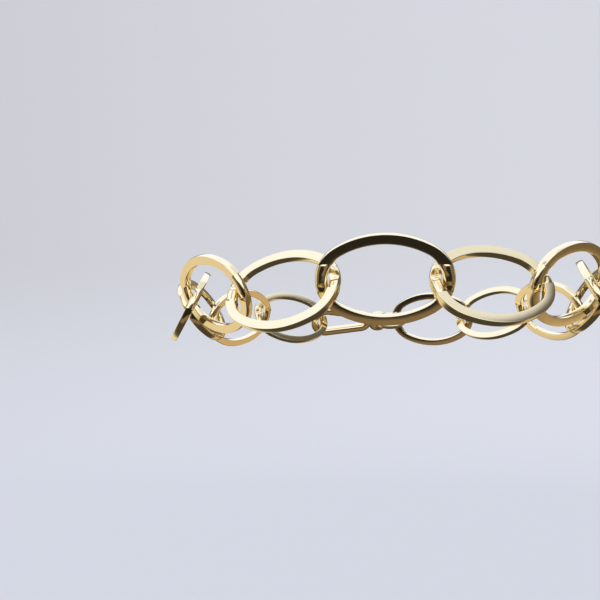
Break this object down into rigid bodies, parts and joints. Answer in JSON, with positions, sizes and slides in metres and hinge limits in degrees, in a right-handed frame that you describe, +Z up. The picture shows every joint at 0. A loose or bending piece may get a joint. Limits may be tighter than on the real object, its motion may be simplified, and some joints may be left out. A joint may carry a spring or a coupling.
{
  "type": "link bracelet",
  "caption": "Closed-loop bracelet of interlocking oval flat-wire links in polished yellow metal, joined at the back by a small ring and a closed hook.",
  "frame": {"origin": "centre of the hollow that the wrist fills, at the middle of the loop's height", "axes": "+Z up the arm through the hollow, -Y towards the middle link of the front, opposite the clasp"},
  "size_m": [0.0598, 0.0603, 0.0097],
  "materials": {
    "polished_gold": "mirror polished pale yellow gold over brass, with soft waviness and fine handling marks"
  },
  "bodies": {
    "root": {"link_01": "polished_gold", "link_02": "polished_gold", "link_03": "polished_gold", "link_04": "polished_gold", "link_05": "polished_gold", "link_06": "polished_gold", "link_07": "polished_gold", "link_08": "polished_gold", "link_09": "polished_gold", "link_10": "polished_gold", "link_11": "polished_gold", "link_12": "polished_gold", "link_13": "polished_gold", "link_14": "polished_gold", "jump_ring": "polished_gold", "clasp": "polished_gold"}
  },
  "joints": []
}
